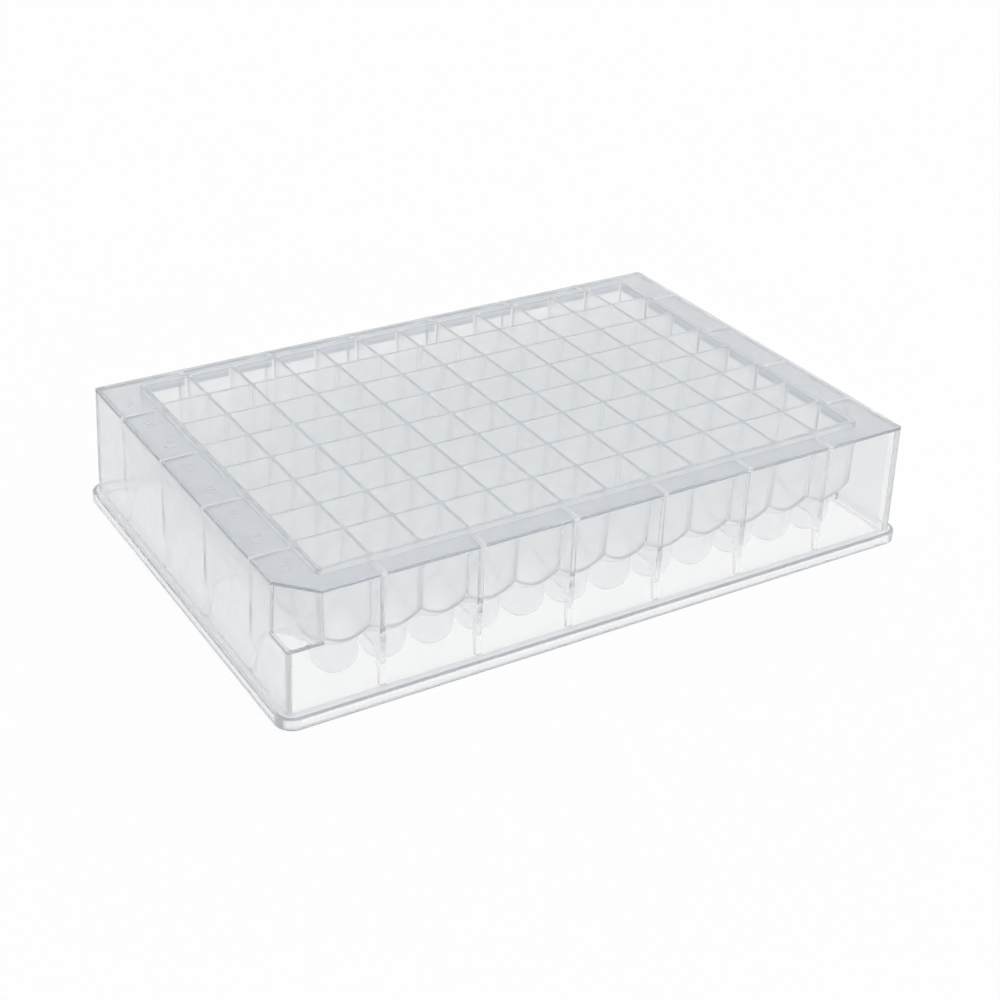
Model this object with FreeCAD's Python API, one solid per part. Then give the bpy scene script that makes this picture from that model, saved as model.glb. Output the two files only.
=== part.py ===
"""A 96-position deep-well plate with square wells, moulded in one piece.

Frame: +Z up, the origin on the table under the middle of the plate. The length runs along X, with
column 1 at -X, and the width along Y, with row A at +Y and row H at -Y. All sizes are in millimetres.

The plate is one thin-walled shell, built in this order: a drafted skirt with a base flange and a deck
on top, hollowed from below; a block of tubes hanging under the deck, one at each grid position; thin
webs from that block to the skirt; and last the pockets, cut down through the rim into the tubes.
"""
import FreeCAD, Part
import math
import os

# The grid of wells.
COLUMNS = 12
ROWS = 8
PITCH = 9.0

# The base. The margins run from the edge of the outer cells to the outside of the flange, so the
# footprint is 127.76 x 85.48.
END_MARGIN = 9.88
SIDE_MARGIN = 6.74
FLANGE_HEIGHT = 2.1
FLANGE_CORNER_R = 3.18
FLANGE_STEP = 1.5         # how far the flange stands out from the foot of the skirt
FLANGE_EDGE = 0.3         # the bevel along the flange's upper edge
FLANGE_BLEND = 0.4        # the slope that joins the flange to the skirt

# The skirt and the deck.
HEIGHT = 24.35            # table to rim
SKIRT_WALL = 1.0
SKIRT_LEAN = 0.6          # how far each side leans in between the base and the deck
SKIRT_CORNER_R = 1.2
INNER_CORNER_R = 0.3      # the least radius inside the skirt
RIM_RISE = 1.0            # how far the rim round the wells stands above the deck
RIM_LAND = 1.0            # the rim's width outside the outer wells
RIM_CORNER_R = 0.8
DECK_THICK = 0.9
DECK_EDGE = 0.25          # the bevel along the deck's outer edge

# The recess in the base that takes the deck of the plate below in a stack.
STACK_DEPTH = 2.0
STACK_CLEARANCE = 0.5

# The corner at H1, cut back above a small ledge so that the plate can't be turned unnoticed.
CORNER_CUT = 5.8
LEDGE_HEIGHT = 14.0

# The wells. A pocket is square down to its shoulder, then closes in to a round tip.
WELL_WALL = 0.8
POCKET_DRAFT = 0.05       # how much each wall of a pocket leans in
BOTTOM_GAP = 1.35         # table to the lowest point of a well
TIP_RADIUS = 4.1          # of the round lower part, outside
SHOULDER_HEIGHT = 9.7     # where the shoulder meets the middle of a flat wall, outside
SHOULDER_SLOPE = 1.1      # its rise for each millimetre outwards
TIP_LEVELS = ((24, 0.407), (62, 1.0))   # steps down the half ball: angle below its middle, depth in radii

# The webs between the block of wells and the skirt, at every second line of the grid.
WEB_THICK = 1.1
WEB_FOOT = 8.6            # height of a web's lower edge
WEB_TURN = 1.0            # the slanted step where that edge turns down into the fin
FIN_DEPTH = 1.5           # the fin runs on down the skirt and fades out at the base

# Worked out from the sizes above.
HALF_GRID_X = COLUMNS * PITCH / 2
HALF_GRID_Y = ROWS * PITCH / 2
HALF_BASE_X = HALF_GRID_X + END_MARGIN
HALF_BASE_Y = HALF_GRID_Y + SIDE_MARGIN
DECK_TOP = HEIGHT - RIM_RISE
DECK_UNDER = DECK_TOP - DECK_THICK
DECK_INSET = FLANGE_STEP + SKIRT_LEAN
HALF_DECK_X = HALF_BASE_X - DECK_INSET
HALF_DECK_Y = HALF_BASE_Y - DECK_INSET
HALF_POCKET = (PITCH - WELL_WALL) / 2
HALF_CELL = HALF_POCKET + WELL_WALL
# The round parts of the wells are drawn with eight flats, because there are 192 of them.
EIGHTH = math.tan(math.pi / 8)                       # half a side, for a half width of 1
FLAT_SHARE = math.sqrt(math.pi / (8 * EIGHTH))       # half width that gives a unit circle's area


def rounded_rectangle(half_x, half_y, radius, z):
    """A wire: four straight sides joined by quarter circles."""
    edges = []
    for turn in range(4):
        angle = turn * math.pi / 2
        along, across = (half_x, half_y) if turn % 2 == 0 else (half_y, half_x)

        def at(x, y):
            return FreeCAD.Vector(x * math.cos(angle) - y * math.sin(angle),
                                  x * math.sin(angle) + y * math.cos(angle), z)

        bend = radius * (1 - math.sqrt(0.5))
        edges.append(Part.makeLine(at(along, radius - across), at(along, across - radius)))
        edges.append(Part.Arc(at(along, across - radius), at(along - bend, across - bend),
                              at(along - radius, across)).toShape())
    return Part.Wire(edges)


def stacked_block(*sections):
    """A solid with straight sides through rounded rectangles, each (half_x, half_y, radius, z)."""
    return Part.makeLoft([rounded_rectangle(*section) for section in sections], True, True)


def upright_block(half_x, half_y, radius, low, high):
    """A rounded rectangle pulled straight up from one height to another."""
    return stacked_block((half_x, half_y, radius, low), (half_x, half_y, radius, high))


def skirt_inset(z):
    """How far the skirt's outer face stands inside the flange's at height z."""
    return FLANGE_STEP + SKIRT_LEAN * z / DECK_TOP


def skirt_section(z, depth):
    """The rounded rectangle at height z that lies depth inside the skirt's outer face."""
    inset = skirt_inset(z) + depth
    return HALF_BASE_X - inset, HALF_BASE_Y - inset, max(SKIRT_CORNER_R - depth, INNER_CORNER_R), z


def corner_wedge(depth):
    """What the H1 corner leaves out: all that lies beyond a slanted wall and above a ledge.

    The depth moves both faces inwards, to leave the wall and the ledge their thickness. The wedge
    widens past the deck's edge, which bevels that edge like the others.
    """
    def triangle(z, extra):
        reach = HALF_DECK_X + HALF_DECK_Y - CORNER_CUT - (depth + extra) * math.sqrt(2)
        far = HALF_BASE_X + HALF_BASE_Y
        return Part.makePolygon([FreeCAD.Vector(x, y, z) for x, y in
                                 ((-far, -far), (far - reach, -far), (-far, far - reach), (-far, -far))])

    return Part.makeLoft([triangle(LEDGE_HEIGHT - depth, 0), triangle(DECK_TOP - DECK_EDGE, 0),
                          triangle(HEIGHT, RIM_RISE + DECK_EDGE)], True, True)


def skirt_and_deck():
    """The drafted box with its flange, its cut corner and the raised rim, open underneath."""
    flange = stacked_block((HALF_BASE_X, HALF_BASE_Y, FLANGE_CORNER_R, 0),
                           (HALF_BASE_X, HALF_BASE_Y, FLANGE_CORNER_R, FLANGE_HEIGHT - FLANGE_EDGE),
                           (HALF_BASE_X - FLANGE_EDGE, HALF_BASE_Y - FLANGE_EDGE,
                            FLANGE_CORNER_R - FLANGE_EDGE, FLANGE_HEIGHT))
    outside = stacked_block(skirt_section(0, -FLANGE_BLEND), skirt_section(FLANGE_HEIGHT, -FLANGE_BLEND),
                            skirt_section(FLANGE_HEIGHT + FLANGE_BLEND, 0),
                            skirt_section(DECK_TOP - DECK_EDGE, 0), skirt_section(DECK_TOP, DECK_EDGE))
    hollow = stacked_block(skirt_section(-1, SKIRT_WALL), skirt_section(DECK_UNDER, SKIRT_WALL))

    recess = upright_block(HALF_DECK_X + STACK_CLEARANCE, HALF_DECK_Y + STACK_CLEARANCE,
                           SKIRT_CORNER_R + STACK_CLEARANCE, -1, STACK_DEPTH)
    land = RIM_LAND - WELL_WALL / 2
    rim = upright_block(HALF_GRID_X + land, HALF_GRID_Y + land, RIM_CORNER_R, DECK_UNDER, HEIGHT)

    solid = outside.cut(corner_wedge(0)).fuse(flange)
    return solid.cut(hollow.cut(corner_wedge(SKIRT_WALL)).fuse(recess)).fuse(rim)


def outline(z, half, cut):
    """Eight points at height z: a square of the given half width with its corners cut back."""
    side = half - cut
    corners = ((side, -half), (half, -side), (half, side), (side, half),
               (-side, half), (-half, side), (-half, -side), (-side, -half))
    return [FreeCAD.Vector(x, y, z) for x, y in corners]


def regular_outline(z, half):
    """The same with eight equal sides."""
    return outline(z, half, half * (1 - EIGHTH))


def flat_face(points):
    """A flat face on the points, or None where they fall together."""
    loop = [p for i, p in enumerate(points) if p.distanceToPoint(points[i - 1]) > 1e-6]
    return Part.Face(Part.makePolygon(loop + loop[:1])) if len(loop) > 2 else None


def faceted_solid(outlines):
    """A solid with flat sides through a stack of outlines, with faces in one plane joined up."""
    faces = [flat_face(outlines[0]), flat_face(outlines[-1])]
    for upper, lower in zip(outlines, outlines[1:]):
        for i in range(len(upper)):
            faces.append(flat_face([upper[i - 1], upper[i], lower[i], lower[i - 1]]))
    return Part.Solid(Part.Shell([face for face in faces if face])).removeSplitter()


def well_form(top, half_top, half, shoulder, radius):
    """A square column whose shoulder closes in to a round tip, for a tube or for its pocket.

    The column's half width goes from half_top at the top to half at the shoulder. The shoulder meets
    the middle of each side at its given height, and rises from there to the corners, so it cuts the
    flat sides in arches.
    """
    lean = (half_top - half) / (top - shoulder)
    rise = SHOULDER_SLOPE * half * (math.sqrt(2) - 1) / (1 - SHOULDER_SLOPE * lean * math.sqrt(2))
    tip_half = radius * FLAT_SHARE
    neck_z = shoulder - SHOULDER_SLOPE * (half - tip_half)
    outlines = [outline(top, half_top, 0), outline(shoulder + rise, half + lean * rise, 0),
                regular_outline(shoulder, half), regular_outline(neck_z, tip_half)]
    centre_z = BOTTOM_GAP + TIP_RADIUS
    for degrees, depth in TIP_LEVELS:
        outlines.append(regular_outline(centre_z - radius * depth,
                                        tip_half * math.cos(math.radians(degrees))))
    return faceted_solid(outlines)


def well_outside():
    """One tube, with walls on all four sides."""
    return well_form(DECK_TOP, HALF_CELL, HALF_CELL, SHOULDER_HEIGHT, TIP_RADIUS)


def well_pocket():
    """The space inside one tube, a wall's thickness inside it all the way down."""
    shoulder = SHOULDER_HEIGHT + WELL_WALL * (math.hypot(1, SHOULDER_SLOPE) - SHOULDER_SLOPE)
    return well_form(HEIGHT, HALF_POCKET + POCKET_DRAFT, HALF_POCKET, shoulder, TIP_RADIUS - WELL_WALL)


def on_grid(shape):
    """A copy of a shape at every position of the grid."""
    return [shape.translated(FreeCAD.Vector((column - (COLUMNS - 1) / 2) * PITCH,
                                            (row - (ROWS - 1) / 2) * PITCH, 0))
            for column in range(COLUMNS) for row in range(ROWS)]


def web(half_grid, half_base):
    """One web on the +X side of a plate with these half sizes, standing on the X axis."""
    inner = half_grid - PITCH / 2 + TIP_RADIUS * FLAT_SHARE * EIGHTH
    top = DECK_TOP - DECK_THICK / 2

    def skirt(z, buried=0):
        return half_base - skirt_inset(z) - SKIRT_WALL + buried

    fin = skirt(WEB_FOOT) - FIN_DEPTH
    outline_xz = ((inner, top), (inner, WEB_FOOT), (fin - WEB_TURN, WEB_FOOT), (fin, WEB_FOOT - WEB_TURN),
                  (skirt(STACK_DEPTH), STACK_DEPTH), (skirt(STACK_DEPTH, SKIRT_WALL / 2), STACK_DEPTH),
                  (skirt(top, SKIRT_WALL / 2), top))
    face = flat_face([FreeCAD.Vector(x, -WEB_THICK / 2, z) for x, z in outline_xz])
    return face.extrude(FreeCAD.Vector(0, WEB_THICK, 0))


def webs():
    """The webs on all four sides, on the odd lines of the grid counted from its middle."""
    found = []
    for half_grid, half_base, lines, turn in ((HALF_GRID_X, HALF_BASE_X, ROWS // 2, 0),
                                              (HALF_GRID_Y, HALF_BASE_Y, COLUMNS // 2, 90)):
        for angle in (turn, turn + 180):
            for line in range(1 - lines, lines, 2):
                placed = web(half_grid, half_base).translated(FreeCAD.Vector(0, line * PITCH, 0))
                placed.rotate(FreeCAD.Vector(0, 0, 0), FreeCAD.Vector(0, 0, 1), angle)
                found.append(placed)
    return found


def well_plate():
    """The whole moulding as one solid."""
    tubes = on_grid(well_outside())
    body = skirt_and_deck().multiFuse(tubes + webs()).removeSplitter()
    return body.cut(on_grid(well_pocket()))


os.makedirs("parts", exist_ok=True)
well_plate().exportStep("parts/well_plate.step")
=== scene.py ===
import math

import bmesh
import bpy
import numpy as np
from mathutils import Matrix, Vector


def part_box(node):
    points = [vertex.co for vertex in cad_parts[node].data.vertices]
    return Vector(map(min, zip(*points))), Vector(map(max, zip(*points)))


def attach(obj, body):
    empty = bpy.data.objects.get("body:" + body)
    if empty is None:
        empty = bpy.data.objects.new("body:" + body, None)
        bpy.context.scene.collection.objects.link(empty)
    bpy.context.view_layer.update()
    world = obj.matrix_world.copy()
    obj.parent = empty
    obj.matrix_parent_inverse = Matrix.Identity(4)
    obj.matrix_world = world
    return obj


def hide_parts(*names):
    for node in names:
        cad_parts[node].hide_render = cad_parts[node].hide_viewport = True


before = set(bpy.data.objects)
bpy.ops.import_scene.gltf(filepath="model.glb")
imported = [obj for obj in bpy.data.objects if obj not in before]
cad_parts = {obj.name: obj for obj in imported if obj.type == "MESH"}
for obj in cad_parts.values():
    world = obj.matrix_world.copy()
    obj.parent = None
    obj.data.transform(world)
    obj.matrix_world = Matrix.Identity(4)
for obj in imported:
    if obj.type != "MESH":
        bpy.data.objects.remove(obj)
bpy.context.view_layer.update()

# ------------------------------------------------------------------ skirt, flange and deck
# The outer wall of the plate, with the foot flange it stands on and the flat deck round the wells.
# Natural polypropylene about 1 mm thick. The sides lean in a little, so that the moulding leaves its
# mould, and the corner at H1 is cut back above a small ledge to show which way round the plate is.

MM = 0.001
plate_high = np.array(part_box("well_plate")[1]) / MM
base_half = plate_high[:2]                      # outside of the flange
height = plate_high[2]                          # table to rim
pitch = 9.0
grid_half = np.array([12, 8]) * pitch / 2

flange_height, flange_corner_r, flange_step = 2.1, 3.18, 1.5
foot_edge_r, lip_edge_r, blend_r = 0.15, 0.3, 0.4
foot_steps = 3                                  # faces round the foot's lower edge
foot_bands = (0.3, 0.6, 1.4)                    # heights where the light changes on the foot's face
lip_flat = 0.4                                  # the shaded part of the flange's top, in from its round edge
skirt_wall, skirt_lean, skirt_corner_r = 1.0, 0.6, 0.6
deck_edge_r, painted_shade_band, deck_border = 0.1, 0.5, 0.9    # the deck's depth shows in a band under its edge
rim_rise, rim_land, rim_corner_r = 1.0, 0.6, 0.8    # shade painted in a band under the deck's edge stands in for the deck's depth
rim_foot_r, rim_edge_r, rim_follow = 0.2, 0.15, 0.9    # how far the corners' radius follows the rim's profile
deck_thick, stack_depth, stack_clearance = 0.9, 2.0, 0.5
hollow_corner_r, hollow_edge_r, hollow_follow = 0.5, 0.3, 0.5
hollow_step = 0.001                             # how much the recess's roof rises towards the wall above it
corner_cut, ledge_height, wedge_bend, inner_bend, wedge_drop = 5.8, 14.0, 0.5, 0.3, 5.0
ledge_gap, ledge_sink = 0.002, 0.3              # the ledge's band of painted shade: its gap below the ledge, and how far it sinks into the wall
proud = 0.01                                    # how far a thin strip stands out of the face that it lies on
past = 1.0                                      # how far a cutting shape reaches beyond the plate
weld, speck = 1e-6, 1e-7                        # metres: nearer points are one, and shorter edges go
deck_top = height - rim_rise
deck_under = deck_top - deck_thick
deck_half = base_half - flange_step - skirt_lean
# how much smaller a corner's radius is on each ring of the deck's edge, from the band's foot to the border
edge_tighter = np.array([0, 0, 0.03, deck_edge_r, 0.4])

# a ring round the plate has four corners of this many faces, with a flat strip beside each on both sides,
# and the faces of the flats between them
corner_steps, strip_at_h1, strip_elsewhere = 8, 0.15, 1.0
BACK, LEFT, FRONT, RIGHT = np.arange(1, 5) * (corner_steps + 3) - 1

# the veil is white; the blue-grey that each face's tone mixes into it is painted shade
veil_colour, painted_shade_colour = (1, 1, 1, 1), (0.43, 0.485, 0.56, 1)
veil_through = 0.5
flow_scale, flow_detail, flow_strength, flow_low, flow_high = 160, 3, 0.08, 0.25, 0.75
grain_scale, grain_detail, grain_strength, grain_depth = 2600, 1, 0.25, 0.00004
resin_ior = 1.49
depth_colour, depth_density = (0.36, 0.46, 0.54, 1), 17

# the veil of each kind of face, with the light and shade painted into it: its share from the air, its share
# from within, and its tone, which darkens it towards painted shade
veils_and_painted_light = {
    "CLEAR": (0.17, 0.05, 0.15),        # polished skirt and flange
    "TIP": (0.32, 0.0, 0.0),            # the wells' round tips, outside
    "MILKY": (0.45, 0.0, 0.0),          # the wells' walls, inside and out, and the flange's round corners
    "RIM": (0.45, 0.0, 0.1),            # the raised rim's sides
    "LAND": (0.55, 0.0, 0.4),           # the rim's level top, with painted blue-grey shade
    "DECK": (0.65, 0.3, 0.45),          # the deck and the letters on it, with painted grey shade
    "CORNER": (0.9, 0.2, 0.12),         # the skirt's round corners, a thick veil painted to look lighter
    "DEEP": (0.85, 0.1, 0.8),           # painted dark lines that stand in for the eye looking into the depth of a wall
    "BLEND": (0.95, 0.0, 0.0),          # painted pale bands: the bend from flange to skirt, and strips beside round corners
    "SHOULDER": (0.58, 0.3, 0.5),       # painted shade: the band over the wells' shoulders, and the flange's top at the ends
    "OVER_WEB": (0.75, 0.3, 0.1),       # painted light: the deck over a web, and its border on the far sides
    "SOFT": (0.3, 0.0, 0.1),            # painted grey shade in the middle of the foot's face
    "SIDE": (0.5, 0.05, 0.1),           # painted haze and shade on the skirt's short sides, the cut corner and the far wall's inside
    "DECK_END": (0.62, 0.0, 0.74),      # painted dark shade on an outer well's wall where the deck ends in it
    "RIM_END": (0.6, 0.0, 0.58),        # painted shade on the same wall above the deck
    "TIP_INSIDE": (0.1, 0.0, 0.0),      # the round bottoms of the wells, inside
}
veil_and_painted_light_table = np.array(list(veils_and_painted_light.values()))
(CLEAR, TIP, MILKY, RIM, LAND, DECK, CORNER, DEEP, BLEND,
 SHOULDER, OVER_WEB, SOFT, SIDE, DECK_END, RIM_END, TIP_INSIDE) = range(len(veils_and_painted_light))
# while the solids are joined, a placeholder material marks each face's kind of veil and painted light and
# shade
veil_and_painted_light_marks = [bpy.data.materials.new("finish_%02d" % k) for k in range(len(veils_and_painted_light))]


def quarter_bend(across, up, radius, start, end, steps=4):
    """Points (across, up) on a circle of the given centre and radius, between two angles in degrees."""
    angle = np.radians(np.linspace(start, end, steps + 1))
    return np.stack([across + radius * np.cos(angle), up + radius * np.sin(angle)], axis=1)


def rounded_rings(half, corner_r, z):
    """Rings (ring, point, xyz). Each is a rectangle of half sizes `half` whose corners are quarter circles:
    the point at angle a on a corner is the corner's centre plus its radius times (cos a, sin a). Each flat
    has one more point at either end, a narrow strip away from the arc."""
    half, corner_r, z = np.asarray(half), np.asarray(corner_r), np.asarray(z)
    arc = np.linspace(0, 90, corner_steps + 1)
    angle = (np.arange(4)[:, None] * 90 + np.concatenate([arc[:1], arc, arc[-1:]])) * math.pi / 180
    strip = np.where(np.arange(4) == 2, strip_at_h1, strip_elsewhere)[:, None]
    along = np.concatenate([-strip, np.zeros((4, len(arc))), strip], axis=1)[:, :, None]
    side = np.array([[1, 1], [-1, 1], [-1, -1], [1, -1]])
    centre = side[None] * (half - corner_r[:, None])[:, None, :]
    circle = np.stack([np.cos(angle), np.sin(angle)], axis=-1)
    tangent = np.stack([-np.sin(angle), np.cos(angle)], axis=-1)
    flat = centre[:, :, None, :] + corner_r[:, None, None, None] * circle[None] + (along * tangent)[None]
    flat = flat.reshape(len(z), -1, 2)
    return np.concatenate([flat, np.broadcast_to(z[:, None, None], flat.shape[:2] + (1,))], axis=2)


def take_veil_and_painted_light_marks(mesh, kinds):
    """Gives each face of the mesh the mark of its kind of veil and painted light and shade."""
    mesh.materials.clear()
    for mark in veil_and_painted_light_marks:
        mesh.materials.append(mark)
    mesh.polygons.foreach_set("material_index", kinds)


def grid_mesh(name, points, veil_and_painted_light=CLEAR, caps=(True, True)):
    """A mesh object on closed rings (shape, ring, point, xyz), in millimetres. Each ring's point is joined to
    the next point and to the next ring; the end rings may get a flat cap. Points that coincide are welded.
    The argument after the points numbers the kind of veil and painted light of all faces, or of each face
    between two rings (ring, point)."""
    shapes, rings, count = points.shape[:3]
    index = np.arange(shapes * rings * count).reshape(shapes, rings, count)
    low, high = index[:, :-1], index[:, 1:]
    quads = np.stack([low, np.roll(low, -1, axis=2), np.roll(high, -1, axis=2), high], axis=-1).reshape(-1, 4)
    faces = quads.tolist()
    kinds = np.broadcast_to(veil_and_painted_light, (shapes, rings - 1, count)).ravel().tolist()
    if caps[0]:
        faces += index[:, 0, ::-1].tolist()
        kinds += [kinds[0]] * shapes
    if caps[1]:
        faces += index[:, -1].tolist()
        kinds += [kinds[-1]] * shapes
    mesh = bpy.data.meshes.new(name)
    mesh.from_pydata((points.reshape(-1, 3) * MM).tolist(), [], faces)
    take_veil_and_painted_light_marks(mesh, kinds)
    shape = bmesh.new()
    shape.from_mesh(mesh)
    bmesh.ops.remove_doubles(shape, verts=shape.verts, dist=weld)
    bmesh.ops.dissolve_degenerate(shape, edges=shape.edges, dist=speck)
    shape.to_mesh(mesh)
    shape.free()
    made = bpy.data.objects.new(name, mesh)
    bpy.context.scene.collection.objects.link(made)
    return made


def combine(base, other, operation):
    """Joins the other solid to the base, cuts it away or keeps what both hold. The base is left one closed
    mesh, whose faces keep the marks of the solids that they come from."""
    step = base.modifiers.new(operation.lower(), "BOOLEAN")
    step.operation, step.solver, step.object = operation, "MANIFOLD", other
    step.material_mode = "TRANSFER"
    shown = base.evaluated_get(bpy.context.evaluated_depsgraph_get())
    result = bpy.data.meshes.new_from_object(shown)
    base.modifiers.clear()
    old, base.data = base.data, result
    bpy.data.meshes.remove(old)
    bpy.data.objects.remove(other)


def new_node(tree, kind, values):
    """A shader node in the tree, with the named sockets set to their values."""
    made = tree.nodes.new(kind)
    for name, value in values.items():
        made.inputs[name].default_value = value
    return made


def polypropylene():
    """Natural polypropylene: clear resin under a milky veil, with light and shade painted into the veil. A
    face attribute holds, for each face, the veil's share for light that comes from the air, its share for
    light from within, and its tone, from white on matt walls to a painted blue-grey shade that stands in for
    the eye looking into the whole depth of a wall; on many kinds of face the share and the tone are painted
    light and shade. The share varies slowly where the resin flowed, and the veil has a fine grain. The resin
    itself takes up a little light, red most, so long ways through it look blue-grey too."""
    plastic = bpy.data.materials.new("natural_polypropylene_with_painted_shade")
    plastic.use_nodes = True
    tree = plastic.node_tree
    tree.nodes.clear()
    join = tree.links.new
    place = new_node(tree, "ShaderNodeTexCoord", {})
    face = new_node(tree, "ShaderNodeAttribute", {})
    face.attribute_name = "veil_and_painted_light"
    # the attribute's parts: the veil's two shares, and the tone that darkens it with painted shade
    veil = new_node(tree, "ShaderNodeSeparateXYZ", {})
    join(face.outputs["Vector"], veil.inputs[0])

    # the tone mixes the white veil towards the blue-grey of painted shade
    tone = new_node(tree, "ShaderNodeMix", {})
    tone.data_type = "RGBA"
    tone.inputs[6].default_value = veil_colour
    tone.inputs[7].default_value = painted_shade_colour
    join(veil.outputs[2], tone.inputs[0])

    grain = new_node(tree, "ShaderNodeTexNoise", {"Scale": grain_scale, "Detail": grain_detail})
    join(place.outputs["Object"], grain.inputs["Vector"])
    matt = new_node(tree, "ShaderNodeBump", {"Strength": grain_strength, "Distance": grain_depth})
    join(grain.outputs["Fac"], matt.inputs["Height"])
    thrown_back = new_node(tree, "ShaderNodeBsdfDiffuse", {})
    let_through = new_node(tree, "ShaderNodeBsdfTranslucent", {})
    join(tone.outputs[2], thrown_back.inputs["Color"])
    join(tone.outputs[2], let_through.inputs["Color"])
    join(matt.outputs[0], thrown_back.inputs["Normal"])
    milk = new_node(tree, "ShaderNodeMixShader", {0: veil_through})
    join(thrown_back.outputs[0], milk.inputs[1])
    join(let_through.outputs[0], milk.inputs[2])

    side = new_node(tree, "ShaderNodeNewGeometry", {})
    share = new_node(tree, "ShaderNodeMix", {})
    join(side.outputs["Backfacing"], share.inputs[0])
    join(veil.outputs[0], share.inputs[2])
    join(veil.outputs[1], share.inputs[3])
    flow = new_node(tree, "ShaderNodeTexNoise", {"Scale": flow_scale, "Detail": flow_detail})
    join(place.outputs["Object"], flow.inputs["Vector"])
    cloud = new_node(tree, "ShaderNodeMapRange", {"From Min": flow_low, "From Max": flow_high,
                                                 "To Min": 1 - flow_strength, "To Max": 1 + flow_strength})
    join(flow.outputs["Fac"], cloud.inputs["Value"])
    uneven = new_node(tree, "ShaderNodeMath", {})
    uneven.operation = "MULTIPLY"
    uneven.use_clamp = True
    join(share.outputs[0], uneven.inputs[0])
    join(cloud.outputs[0], uneven.inputs[1])

    resin = new_node(tree, "ShaderNodeBsdfGlass", {"Roughness": 0.0, "IOR": resin_ior, "Color": (1, 1, 1, 1)})
    both = new_node(tree, "ShaderNodeMixShader", {})
    join(uneven.outputs[0], both.inputs[0])
    join(resin.outputs[0], both.inputs[1])
    join(milk.outputs[0], both.inputs[2])
    deep = new_node(tree, "ShaderNodeVolumeAbsorption", {"Color": depth_colour, "Density": depth_density})
    result = new_node(tree, "ShaderNodeOutputMaterial", {})
    join(both.outputs[0], result.inputs["Surface"])
    join(deep.outputs[0], result.inputs["Volume"])
    return plastic


def skirt_face(z):
    """Half sizes of the skirt's outside at height z: the foot's, less the lean in proportion to z."""
    z = np.asarray(z, float)
    return base_half[None] - flange_step - skirt_lean * z[:, None] / deck_top


def flange_and_skirt():
    """The outside, from the table up: flange, its rounded edges, the leaning wall, the deck and the rim. Each
    ring is the base's rectangle moved in by the profile's distance. Returns the rings and the kind of veil of
    each face between them, with painted light and shade: dark lines at the foot, along the flange's top and
    under the deck's edge, pale bands at the bend and beside the corners, lighter round corners, shaded short
    sides, and the deck's grey."""
    foot = np.concatenate([quarter_bend(-foot_edge_r, foot_edge_r, foot_edge_r, 270, 360, foot_steps),
                           [[0, z] for z in foot_bands]])
    lip = np.concatenate([quarter_bend(-lip_edge_r, flange_height - lip_edge_r, lip_edge_r, 0, 90),
                          [[-lip_edge_r - lip_flat, flange_height]]])
    blend = quarter_bend(blend_r - flange_step, flange_height + blend_r, blend_r, 270, 180)
    blend[:, 0] -= skirt_lean * blend[:, 1] / deck_top * np.linspace(0, 1, len(blend))
    edge = np.concatenate([[[0, deck_top - painted_shade_band]],
                           quarter_bend(-deck_edge_r, deck_top - deck_edge_r, deck_edge_r, 0, 90, 2)])
    edge[:, 0] -= flange_step + skirt_lean * edge[:, 1] / deck_top
    edge = np.concatenate([edge, edge[-1:] - [[deck_border, 0]]])
    profile = np.concatenate([foot, lip, blend, edge])
    radius = np.concatenate([flange_corner_r + foot[:, 0],
                             flange_corner_r + lip[:, 0],
                             np.linspace(flange_corner_r - flange_step + blend_r, skirt_corner_r, len(blend)),
                             skirt_corner_r - edge_tighter])
    wall = rounded_rings(base_half[None] + profile[:, :1], radius, profile[:, 1])
    rim = np.concatenate([quarter_bend(rim_foot_r, deck_top + rim_foot_r, rim_foot_r, 270, 180, 3),
                          quarter_bend(-rim_edge_r, height - rim_edge_r, rim_edge_r, 0, 90, 3)])
    rim = rounded_rings((grid_half + rim_land)[None] + rim[:, :1], rim_corner_r + rim[:, 0] * rim_follow,
                        rim[:, 1])
    rings = np.concatenate([wall, rim])

    # a row of faces has the number of the ring under it
    lip_row = len(foot)
    blend_row = lip_row + len(lip) - 1
    wall_row = blend_row + len(blend)
    band_row = wall_row + 1
    border_row = len(profile) - 2
    corner = np.arange(rings.shape[1]) % (corner_steps + 3) < corner_steps + 2
    far_strips = [RIGHT + 1 - len(corner), BACK - 1, BACK + 1, LEFT - 1, FRONT + 1, RIGHT - 1]
    # painted light and shade on the outside: dark lines at the foot's lower edge, on the flange's top and
    # under the deck's edge, grey in the middle of the foot's face, pale bands at the bend, lighter corners,
    # shaded short sides and flange ends, and a grey deck with paler strips along its far border
    veil_and_painted_light = np.full((len(rings) - 1, rings.shape[1]), CLEAR)
    veil_and_painted_light[:foot_steps + 1] = DEEP
    veil_and_painted_light[foot_steps + 2] = SOFT
    veil_and_painted_light[foot_steps + 1:lip_row + 2][:, corner] = MILKY
    veil_and_painted_light[lip_row + 2:blend_row] = DEEP
    veil_and_painted_light[lip_row + 2:blend_row][:, [LEFT, RIGHT]] = SHOULDER
    veil_and_painted_light[blend_row:wall_row] = BLEND
    veil_and_painted_light[wall_row, [LEFT, RIGHT]] = SIDE
    veil_and_painted_light[wall_row, corner] = CORNER
    veil_and_painted_light[wall_row, far_strips] = BLEND
    veil_and_painted_light[band_row] = DEEP
    veil_and_painted_light[border_row:] = DECK
    veil_and_painted_light[border_row, [BACK, RIGHT]] = OVER_WEB
    veil_and_painted_light[border_row + 2:] = RIM
    return rings[None], veil_and_painted_light


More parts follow.
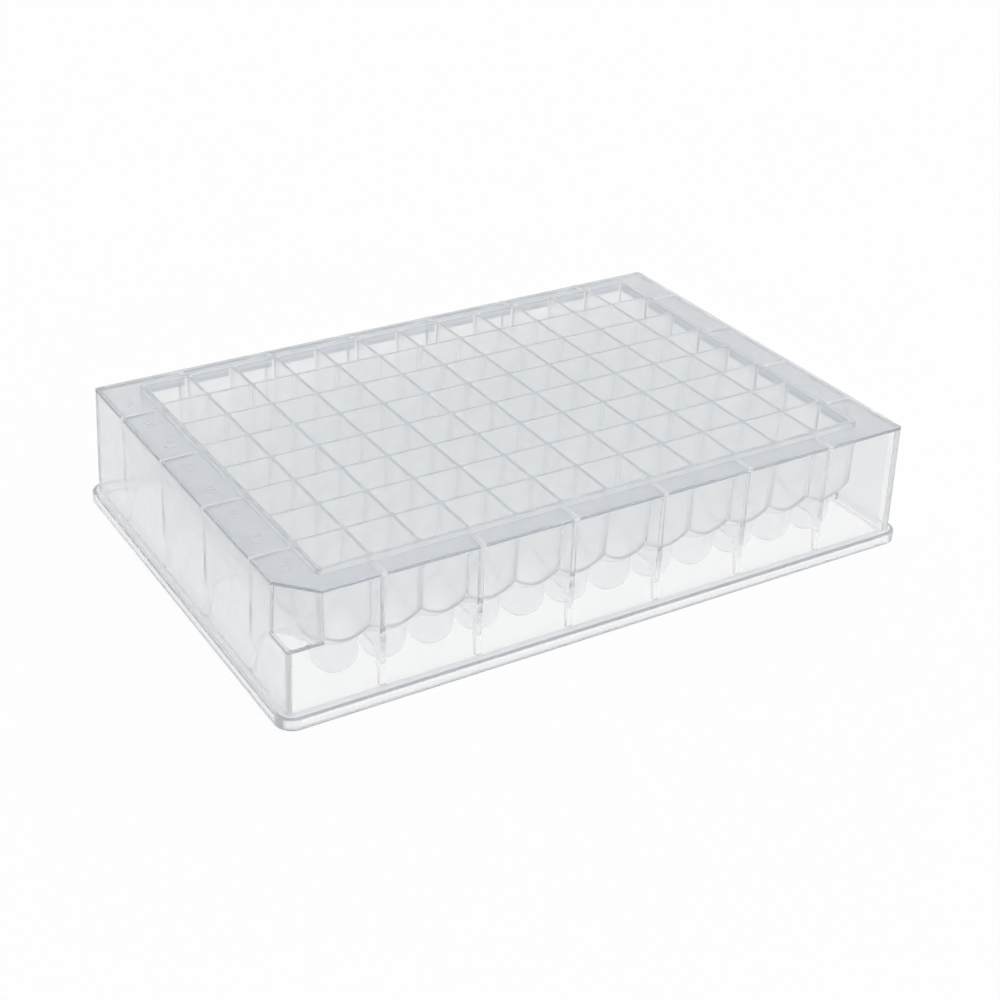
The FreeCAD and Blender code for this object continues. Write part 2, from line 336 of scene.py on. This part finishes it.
def hollow_rings():
    """The inside: the recess that takes another plate's deck, a step, and the wall up to the deck. Each ring
    is the skirt's outside moved in by its wall, with a quarter circle under the deck. Returns the rings and
    the kind of veil of each face between them: the wall far from column 1 shows through the plate and gets the
    milky veil with painted side shade."""
    recess = deck_half + stack_clearance
    top = quarter_bend(-hollow_edge_r, deck_under - hollow_edge_r, hollow_edge_r, 0, 90, 3)
    z = np.concatenate([[-past, stack_depth, stack_depth + hollow_step], top[:, 1]])
    wall = skirt_face(z) - skirt_wall
    wall[3:] += top[:, :1]
    half = np.concatenate([recess[None], recess[None], wall[2:]])
    radius = np.concatenate([[skirt_corner_r + stack_clearance] * 2, [hollow_corner_r],
                             hollow_corner_r + top[:, 0] * hollow_follow])
    rings = rounded_rings(half, radius, z)
    wall_row = 2
    veil_and_painted_light = np.full((len(rings) - 1, rings.shape[1]), CLEAR)
    veil_and_painted_light[wall_row, RIGHT] = SIDE
    return rings[None], veil_and_painted_light


def corner_wedge(depth, bend):
    """All that lies outside the slanted wall at H1 and above the ledge, moved inwards by depth. At each height
    the outline follows the slanted line and turns over two arcs of radius bend into the walls beside it, then
    leaves them square. The topmost outline lies further in, so that it bevels the deck's edge."""
    z = np.array([ledge_height - depth, deck_top - painted_shade_band, deck_top - deck_edge_r, height + past])
    extra = np.array([0, 0, 0, height + past - deck_top + deck_edge_r])
    reach = deck_half.sum() - corner_cut - (depth + extra) * math.sqrt(2)
    wall = skirt_face(z) - depth
    far = base_half.sum()
    # the arc's centre is one bend away from the wall and from the slanted line
    front_y = bend - wall[:, 1]
    front_x = bend * math.sqrt(2) - reach - front_y
    left_x = bend - wall[:, 0]
    left_y = bend * math.sqrt(2) - reach - left_x
    one = np.ones_like(z)
    turn = np.radians(np.linspace(270, 225, 4))[:, None]
    strip = strip_at_h1 / math.sqrt(2)
    arc_x, arc_y = front_x + bend * np.cos(turn), front_y + bend * np.sin(turn)
    end_x, end_y = left_x + bend * np.sin(turn[::-1]), left_y + bend * np.cos(turn[::-1])
    x = [-far * one, front_x, *arc_x, arc_x[-1] - strip, end_x[0] + strip, *end_x, -far * one]
    y = [-far * one, -far * one, *arc_y, arc_y[-1] + strip, end_y[0] - strip, *end_y, left_y]
    rings = np.stack([np.stack(x, axis=1), np.stack(y, axis=1),
                      np.broadcast_to(z[:, None], (len(z), len(x)))], axis=2)
    veil_and_painted_light = np.full((len(z) - 1, len(x)), CLEAR)
    # painted light and shade: a lighter first bend and its strip, shade on the slanted wall, a pale second
    # bend and its strip
    veil_and_painted_light[0, 2:6], veil_and_painted_light[0, 6], veil_and_painted_light[0, 7:11] = CORNER, SIDE, BLEND
    # a painted dark line on the band under the deck's bevelled edge
    veil_and_painted_light[1] = DEEP
    return rings[None], veil_and_painted_light


def painted_ledge_shade():
    """A band of painted dark shade under the ledge's edge, standing in for the ledge's depth: the skirt's
    outline, hardly proud of it, kept only where the wedge, moved down, meets it."""
    z = ledge_height - np.array([painted_shade_band, ledge_gap, ledge_gap, painted_shade_band, painted_shade_band])
    out = np.array([proud, proud, -ledge_sink, -ledge_sink, proud])[:, None]
    band = rounded_rings(skirt_face(z) + out, skirt_corner_r + out[:, 0], z)
    band = grid_mesh("painted_ledge_shade", band[None], DEEP, caps=(False, False))
    beside = corner_wedge(0, wedge_bend)[0][:, :2]
    beside[..., 2] -= wedge_drop
    combine(band, grid_mesh("beside_ledge", beside, DEEP), "INTERSECT")
    return band


outside, outside_veil_and_painted_light = flange_and_skirt()
plate = grid_mesh("well_plate_moulding", outside, outside_veil_and_painted_light)
# the rim's top, which the wells leave as lands between them, gets painted blue-grey shade
plate.data.polygons[-1].material_index = LAND
combine(plate, grid_mesh("wedge", *corner_wedge(0, wedge_bend)), "DIFFERENCE")
combine(plate, painted_ledge_shade(), "UNION")
hollow = grid_mesh("hollow", *hollow_rings())
combine(hollow, grid_mesh("inner_wedge", corner_wedge(skirt_wall, inner_bend)[0]), "DIFFERENCE")
combine(plate, hollow, "DIFFERENCE")

# ------------------------------------------------------------------ the wells
# Ninety-six square wells in eight rows of twelve, hanging under the deck with shared walls 0.8 mm thick.
# Each closes in over a sloping shoulder to a round tip, which stands clear of its neighbours. They are
# moulded with the skirt; the spaces inside them are cut last, where the webs' ends have joined them.

well_wall, bottom_gap, tip_r, outer_bend = 0.8, 1.35, 4.1, 0.6
shoulder_height, shoulder_slope, shoulder_band = 9.7, 1.1, 0.55
pocket_half = (pitch - well_wall) / 2
tip_centre = bottom_gap + tip_r
around, ball_steps = 36, 5
well_outer = pitch / 2 + well_wall / 2
narrow = 0.4                                    # the cells' edges are this short where two wells meet
places = np.stack(np.meshgrid((np.arange(12) - 5.5) * pitch, (np.arange(8) - 3.5) * pitch, indexing="ij"),
                  axis=-1).reshape(-1, 2)


def tip_profile(radius, neck_z, bend):
    """Points (distance from the axis, height) from the lowest point of a round tip up to its neck: a half
    ball, a short straight tube and a bend that turns out towards the shoulder."""
    ball = quarter_bend(0, tip_centre, radius, -90, 0, ball_steps)
    slope = math.degrees(math.atan(shoulder_slope))
    angle = np.radians(np.linspace(0, 90 - slope, 3))
    # the bend leaves the tube upwards and ends along the shoulder
    x = radius + bend * (1 - np.cos(angle))
    z = bend * np.sin(angle)
    shift = neck_z + shoulder_slope * (x[-1] - radius) - z[-1]
    return np.concatenate([ball, np.stack([x, z + shift], axis=1)])


def turned(profile, first):
    """Rings (ring, point, xyz): the profile turned about its axis, from the given angle on."""
    turn = np.radians(first + np.arange(around) * 360 / around)
    return np.stack([profile[:, :1] * np.cos(turn), profile[:, :1] * np.sin(turn),
                     np.broadcast_to(profile[:, 1:], (len(profile), around))], axis=2)


def well_outsides():
    """The underside of the block: for each well the tip's profile turned about its axis, then the shoulder,
    a cone that runs out to the square cell round the well. Rows of cells share their edges."""
    neck = shoulder_height - shoulder_slope * (pocket_half + well_wall - tip_r)
    tip = turned(tip_profile(tip_r, neck, outer_bend), 45)
    tips = np.broadcast_to(tip, (len(places),) + tip.shape).copy()
    # the cell's edge, as a unit square, closest divided near its corners, and stretched to the outside of the
    # block where the well is at its side
    run = np.array([1, 0.93, 0.7, 0.42, 0.14, -0.14, -0.42, -0.7, -0.93])
    one = np.ones(around // 4)
    unit = np.concatenate([np.stack(p, axis=1) for p in ((run, one), (-one, run), (-run, -one), (one, -run))])
    reach_high = np.where(places >= grid_half - pitch, well_outer, pitch / 2)
    reach_low = np.where(places <= pitch - grid_half, well_outer, pitch / 2)
    edge = unit[None] * np.where(unit[None] > 0, reach_high[:, None], reach_low[:, None])
    edge_z = neck + shoulder_slope * (np.hypot(edge[..., 0], edge[..., 1]) - tip_r)
    cells = np.concatenate([tips, np.concatenate([edge, edge_z[..., None]], axis=2)[:, None]], axis=1)
    cells[..., :2] += places[:, None, None]
    veil_and_painted_light = np.full((len(tip), around), MILKY)
    veil_and_painted_light[:ball_steps + 1] = TIP
    return cells, veil_and_painted_light


def block_sides(cells):
    """The block's outer walls. Their lower edge is made of the cells' edge points that lie on the block's
    outline, put in order by the way walked round it; from there the walls go straight up to inside the deck.
    Bands of painted shade, one over the shoulders and a narrow one where two wells meet, stand in for the
    depth of the walls behind."""
    edge = cells[:, -1].reshape(-1, 3)
    half = grid_half + well_wall / 2
    x, y = edge[:, 0], edge[:, 1]
    sides = [np.isclose(x, half[0]), np.isclose(y, half[1]),
             np.isclose(x, -half[0]), np.isclose(y, -half[1])]
    way = np.select(sides, [y, half.sum() - x, 2 * half.sum() - y, 3 * half.sum() + x], np.nan)
    way, first = np.unique(np.round(way, 4), return_index=True)
    ring = edge[first[~np.isnan(way)]]
    above = ring + np.array([0, 0, shoulder_band])
    top = np.concatenate([ring[:, :2], np.full((len(ring), 1), deck_top - deck_thick / 2)], axis=1)
    veil_and_painted_light = np.full((2, len(ring)), MILKY)
    veil_and_painted_light[0] = SHOULDER
    veil_and_painted_light[1, np.linalg.norm((np.roll(ring, -1, axis=0) - ring)[:, :2], axis=1) < narrow] = SHOULDER
    return np.stack([ring, above, top])[None], veil_and_painted_light


def well_block():
    """The wells' underside and the outer walls joined to a closed solid."""
    cells, veil_and_painted_light = well_outsides()
    block = grid_mesh("well_block", cells, veil_and_painted_light, caps=(True, False))
    walls = grid_mesh("block_sides", *block_sides(cells), caps=(False, True))
    shape = bmesh.new()
    shape.from_mesh(block.data)
    shape.from_mesh(walls.data)
    bmesh.ops.remove_doubles(shape, verts=shape.verts, dist=2 * weld)
    shape.to_mesh(block.data)
    shape.free()
    bpy.data.objects.remove(walls)
    return block


def turn_outwards(mesh):
    """Turns the faces of closed solids so that they point out of them."""
    shape = bmesh.new()
    shape.from_mesh(mesh)
    bmesh.ops.recalc_face_normals(shape, faces=shape.faces)
    shape.to_mesh(mesh)
    shape.free()


block = well_block()
turn_outwards(block.data)
combine(plate, block, "UNION")

# ------------------------------------------------------------------ the webs
# Thin plates that tie the block of wells to the skirt at every second line of wells, moulded with them. Each
# has a straight lower edge, a short slanted step and a narrow fin that runs down the inside of the skirt to
# the recess. Over their tops, thin strips laid on the deck and its edge carry pale lines of painted light.

web_thick, web_foot, web_turn = 1.1, 8.6, 1.0
fin_depth, fin_end = 1.5, 0.6                   # a fin's depth from the skirt, at its top and at its foot
web_start, web_sink = 1.7, 0.5                  # how far a web reaches into an outer well and into the skirt
web_lines = (np.arange(-3, 4, 2), np.arange(-5, 6, 2))    # lines of wells, on the short and on the long sides
strip_wide, strip_sink, strip_gap = (0.7, 1.1), 0.3, 0.1    # the painted pale strips over the short and the long sides' webs


def at_each_web(bar_for):
    """Copies of a bar (ring, point, xyz) for every web: bar_for gives the one of the short or of the long
    sides, drawn along +X from the middle, and each copy is moved to its line and turned to its side."""
    bars = []
    for axis, lines in enumerate(web_lines):
        bar = bar_for(axis)
        for side in (0, 180):
            turn = math.radians(side + 90 * axis)
            across, along = math.cos(turn), math.sin(turn)
            spin = np.array([[across, along, 0], [-along, across, 0], [0, 0, 1]])
            bars += [(bar + np.array([0, line * pitch, 0])) @ spin for line in lines]
    return np.stack(bars)


def slab(outline, thick):
    """An outline (out, up) given a thickness along Y: the rings (ring, point, xyz) of its two faces."""
    return np.stack([np.stack([outline[:, 0], np.full(len(outline), y), outline[:, 1]], axis=1)
                     for y in (-thick / 2, thick / 2)])


def web_bar(axis):
    """A web: its outline (out from the block, up), given a thickness."""
    def inside(z, buried=0.0):
        return skirt_face([z])[0, axis] - skirt_wall + buried

    inner = grid_half[axis] - pitch / 2 + web_start
    top = deck_top - deck_thick / 2
    fin = inside(web_foot) - fin_depth
    outline = np.array([(inner, top), (inner, web_foot), (fin - web_turn, web_foot),
                        (fin, web_foot - web_turn), (inside(stack_depth) - fin_end, stack_depth),
                        (inside(stack_depth, web_sink), stack_depth),
                        (inside(top, web_sink), top)])
    return slab(outline, web_thick)


def painted_web_light_strip(axis):
    """The pale line of painted light over a web: its outline runs from the rim to the deck's edge and down the
    band under it, hardly proud of them."""
    begin, end = grid_half[axis] + rim_land + strip_gap, deck_half[axis]
    foot = deck_top - painted_shade_band
    out = skirt_face([foot])[0, axis] + proud
    outline = np.array([(begin, deck_top + proud), (begin, deck_top - strip_sink),
                        (out - strip_sink, deck_top - strip_sink), (out - strip_sink, foot), (out, foot),
                        (end + proud, deck_top), (end, deck_top + proud)])
    return slab(outline, strip_wide[axis])


webs = grid_mesh("webs", at_each_web(web_bar))
# pale strips of painted light over the webs' tops
web_light_strips = grid_mesh("painted_web_light_strips", at_each_web(painted_web_light_strip), OVER_WEB)
for part in (webs, web_light_strips):
    turn_outwards(part.data)
    combine(plate, part, "UNION")

# ------------------------------------------------------------------ row letters
# The letters A to H on the deck beside column 1, one for each row of wells. They stand a little proud of the
# deck, because they are cut into the mould, and have its veil with painted grey shade.

letter_high, letter_rise, letter_sink, letter_x = 2.5, 0.07, 0.3, 58.2
capital_share = 0.69                            # a capital's height as a share of the typeface's size
letter_thick, letter_curve = 0.1, 3             # as drawn, before they get their height; points on a curve


def row_letters():
    """The letters as closed solids: outlines of a plain typeface given a thickness, one line of text for each
    row, scaled and moved so that the lines are one pitch apart."""
    words = bpy.data.curves.new("row_letters", "FONT")
    words.body = "\n".join("ABCDEFGH")
    words.align_x = "CENTER"
    words.extrude = letter_thick
    words.resolution_u = letter_curve
    words.space_line = capital_share * pitch / letter_high
    drawn = bpy.data.objects.new("row_letters", words)
    bpy.context.scene.collection.objects.link(drawn)
    mesh = bpy.data.meshes.new_from_object(drawn)
    bpy.data.objects.remove(drawn)
    place = np.zeros(len(mesh.vertices) * 3)
    mesh.vertices.foreach_get("co", place)
    place = place.reshape(-1, 3)
    middle = (place.min(axis=0) + place.max(axis=0)) / 2
    place = (place - middle) * [letter_high / capital_share, letter_high / capital_share, 1]
    place[:, 2] = deck_top + np.where(place[:, 2] > 0, letter_rise, -letter_sink)
    place[:, 0] -= letter_x
    mesh.vertices.foreach_set("co", (place * MM).ravel())
    shape = bmesh.new()
    shape.from_mesh(mesh)
    bmesh.ops.remove_doubles(shape, verts=shape.verts, dist=weld)
    bmesh.ops.recalc_face_normals(shape, faces=shape.faces)
    shape.to_mesh(mesh)
    shape.free()
    take_veil_and_painted_light_marks(mesh, np.full(len(mesh.polygons), DECK))
    made = bpy.data.objects.new("row_letters", mesh)
    bpy.context.scene.collection.objects.link(made)
    return made


combine(plate, row_letters(), "UNION")

# ------------------------------------------------------------------ the wells' insides, the whole moulding
# The spaces that the mould's cores leave: square down to the shoulder, then round, with a flared mouth. They
# open the block from above. The plate is then one piece of natural polypropylene, with light and shade painted
# into its veil, smooth over its bends and crisp along its edges.

pocket_draft, pocket_corner_r, mouth_r, pocket_bend = 0.05, 0.5, 0.2, 0.4
square_steps, mouth_steps = 3, 3
crisp_edge = math.radians(32)


def rounded_squares(half, corner_r):
    """Rounded squares (ring, point, xy) with the flats divided evenly. One corner and the side after it are
    worked out, then turned three times by a quarter."""
    angle = np.radians(np.linspace(0, 90, square_steps + 1))
    circle = np.stack([np.cos(angle), np.sin(angle)], axis=1)
    corner = (half - corner_r)[:, None, None] + corner_r[:, None, None] * circle
    flat_steps = around // 4 - square_steps
    share = (np.arange(1, flat_steps) / flat_steps)[None, :, None]
    begin = corner[:, -1:]
    side = begin + (begin * np.array([-1, 1]) - begin) * share
    quarters = [np.concatenate([corner, side], axis=1)]
    for _ in range(3):
        last = quarters[-1]
        quarters.append(np.stack([-last[..., 1], last[..., 0]], axis=-1))
    return np.concatenate(quarters, axis=1)


def pocket_rings():
    """The space inside one well, from the tip up: ball, tube and bend turned about the axis, the edge where
    the shoulder's cone cuts the flat walls, the walls, and the mouth, which flares over a small quarter
    circle. Returns one such space for each well and the kind of veil of each face, with painted shade on the
    outer wells' walls."""
    shoulder = shoulder_height + well_wall * (math.hypot(1, shoulder_slope) - shoulder_slope)
    radius = tip_r - well_wall
    neck = shoulder - shoulder_slope * (pocket_half - radius)
    tip = turned(tip_profile(radius, neck, pocket_bend), 45 - square_steps / 2 * 360 / around)
    arch = rounded_squares(np.array([pocket_half]), np.array([pocket_corner_r]))
    arch_z = neck + shoulder_slope * (np.hypot(arch[..., 0], arch[..., 1]) - radius)
    arch = np.concatenate([arch, arch_z[..., None]], axis=2)
    mouth = quarter_bend(mouth_r, height - mouth_r, mouth_r, 180, 90, mouth_steps)
    z = np.concatenate([[deck_under, deck_top], mouth[:, 1], [height + past]])
    flare = np.concatenate([[0, 0], mouth[:, 0], [mouth_r]])
    wide = pocket_half + pocket_draft * np.clip((z - shoulder) / (height - mouth_r - shoulder), 0, 1)
    walls = rounded_squares(wide + flare, flare + pocket_corner_r)
    walls = np.concatenate([walls, np.broadcast_to(z[:, None, None], walls.shape[:2] + (1,))], axis=2)
    rings = np.concatenate([tip, arch, walls])
    spread = np.broadcast_to(rings, (len(places),) + rings.shape).copy()
    spread[..., :2] += places[:, None, None]
    veil_and_painted_light = np.full((len(places), len(rings) - 1, around), MILKY)
    veil_and_painted_light[:, :ball_steps + 1] = TIP_INSIDE
    # painted shade on the outer walls: dark where the deck shows end-on, a little less dark on the rim above
    # it
    deck_row = len(tip) + 1
    for side, (axis, sign) in enumerate(((1, 1), (0, -1), (1, -1), (0, 1))):
        outer = np.flatnonzero(places[:, axis] * sign > grid_half[axis] - pitch)
        flat = np.arange(side * around // 4 + square_steps, (side + 1) * around // 4)
        veil_and_painted_light[outer[:, None], deck_row, flat] = DECK_END
        veil_and_painted_light[outer[:, None], deck_row + 1, flat] = RIM_END
    return spread, veil_and_painted_light


def complete_moulding_with_painted_light(mesh):
    """Turns each face's mark into its row of the table of veils and painted light and shade, and gives the
    mesh its one material.
    """
    count = len(mesh.polygons)
    mesh.polygons.foreach_set("use_smooth", np.ones(count, bool))
    slots = np.zeros(count, int)
    mesh.polygons.foreach_get("material_index", slots)
    marks = np.array([int(mark.name[-2:]) for mark in mesh.materials])[slots]
    veil_and_painted_light = mesh.attributes.new("veil_and_painted_light", "FLOAT_VECTOR", "FACE")
    veil_and_painted_light.data.foreach_set("vector", veil_and_painted_light_table[marks].ravel())
    mesh.polygons.foreach_set("material_index", np.zeros(count, int))
    mesh.materials.clear()
    mesh.materials.append(polypropylene())
    mesh.set_sharp_from_angle(angle=crisp_edge)


combine(plate, grid_mesh("pockets", *pocket_rings()), "DIFFERENCE")
complete_moulding_with_painted_light(plate.data)
for mark in veil_and_painted_light_marks:
    bpy.data.materials.remove(mark)
even = plate.modifiers.new("even_light", "WEIGHTED_NORMAL")
even.keep_sharp = True
even.weight = 100

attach(plate, "root")
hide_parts("well_plate")

# ------------------------------------------------------------------ studio
# A plain white table under an even sky, a little darker towards column 1. The table takes the plate's shadow,
# and it and the sky look plain white to the camera. The plate is seen from above, past its corner at H1.

floor_size, floor_gap = 6, 0.00005              # the gap keeps the plate's foot clear of the table
floor_glow = 0.92
sky_dark, sky_light, sky_from, sky_to = 0.5, 1.0, -1.0, 0.1    # brightness, and where along X it changes
camera_place = Vector((-0.1586, -0.2444, 0.1703))
camera_right = Vector((0.872, -0.490, 0.019))
camera_down = Vector((-0.231, -0.444, -0.866))
camera_ahead = Vector((0.432, 0.750, -0.500))
camera_sensor, camera_lens, camera_shift = 36, 64.02, (0.0924, 0.0049)
light_bounces = 64


def table_white():
    """White that takes shadow, mixed with a white glow for rays from the camera, gloss and clear plastic."""
    white = bpy.data.materials.new("table_white")
    white.use_nodes = True
    tree = white.node_tree
    tree.nodes.clear()
    ray = new_node(tree, "ShaderNodeLightPath", {})
    seen = ray.outputs["Is Camera Ray"]
    for kind in ("Is Glossy Ray", "Is Transmission Ray"):
        either = new_node(tree, "ShaderNodeMath", {})
        either.operation = "MAXIMUM"
        tree.links.new(seen, either.inputs[0])
        tree.links.new(ray.outputs[kind], either.inputs[1])
        seen = either.outputs[0]
    share = new_node(tree, "ShaderNodeMath", {1: floor_glow})
    share.operation = "MULTIPLY"
    tree.links.new(seen, share.inputs[0])
    lit = new_node(tree, "ShaderNodeBsdfDiffuse", {"Color": (1, 1, 1, 1)})
    glow = new_node(tree, "ShaderNodeEmission", {"Strength": 1.0})
    mix = new_node(tree, "ShaderNodeMixShader", {})
    result = new_node(tree, "ShaderNodeOutputMaterial", {})
    tree.links.new(share.outputs[0], mix.inputs[0])
    tree.links.new(lit.outputs[0], mix.inputs[1])
    tree.links.new(glow.outputs[0], mix.inputs[2])
    tree.links.new(mix.outputs[0], result.inputs["Surface"])
    white.cycles.emission_sampling = "NONE"
    return white


def studio_sky():
    """Light from all round, in proportion to the direction's X between two limits. The camera sees white."""
    sky = bpy.data.worlds.new("studio_sky")
    sky.use_nodes = True
    tree = sky.node_tree
    tree.nodes.clear()
    direction = new_node(tree, "ShaderNodeTexCoord", {})
    part = new_node(tree, "ShaderNodeSeparateXYZ", {})
    grade = new_node(tree, "ShaderNodeMapRange", {"From Min": sky_from, "From Max": sky_to,
                                                 "To Min": sky_dark, "To Max": sky_light})
    soft = new_node(tree, "ShaderNodeBackground", {})
    plain = new_node(tree, "ShaderNodeBackground", {"Color": (1, 1, 1, 1)})
    ray = new_node(tree, "ShaderNodeLightPath", {})
    mix = new_node(tree, "ShaderNodeMixShader", {})
    result = new_node(tree, "ShaderNodeOutputWorld", {})
    tree.links.new(direction.outputs["Generated"], part.inputs[0])
    tree.links.new(part.outputs["X"], grade.inputs["Value"])
    tree.links.new(grade.outputs[0], soft.inputs["Color"])
    tree.links.new(ray.outputs["Is Camera Ray"], mix.inputs[0])
    tree.links.new(soft.outputs[0], mix.inputs[1])
    tree.links.new(plain.outputs[0], mix.inputs[2])
    tree.links.new(mix.outputs[0], result.inputs["Surface"])
    sky.cycles.sampling_method = "NONE"
    return sky


scene = bpy.context.scene
bpy.ops.mesh.primitive_plane_add(size=floor_size, location=(0, 0, -floor_gap))
floor = bpy.context.object
floor.name = "studio_floor"
floor.data.materials.append(table_white())
scene.world = studio_sky()

camera = bpy.data.objects.new("camera", bpy.data.cameras.new("camera"))
scene.collection.objects.link(camera)
turned_to = Matrix((camera_right, -camera_down, -camera_ahead)).transposed()
camera.matrix_world = Matrix.Translation(camera_place) @ turned_to.to_4x4()
camera.data.sensor_width = camera_sensor
camera.data.lens = camera_lens
camera.data.shift_x, camera.data.shift_y = camera_shift
scene.camera = camera
scene.view_settings.view_transform = "Standard"

# light passes many walls on its way through the wells
scene.cycles.max_bounces = light_bounces
scene.cycles.transmission_bounces = light_bounces
scene.cycles.diffuse_bounces = light_bounces
scene.cycles.glossy_bounces = light_bounces
scene.cycles.blur_glossy = 0.0
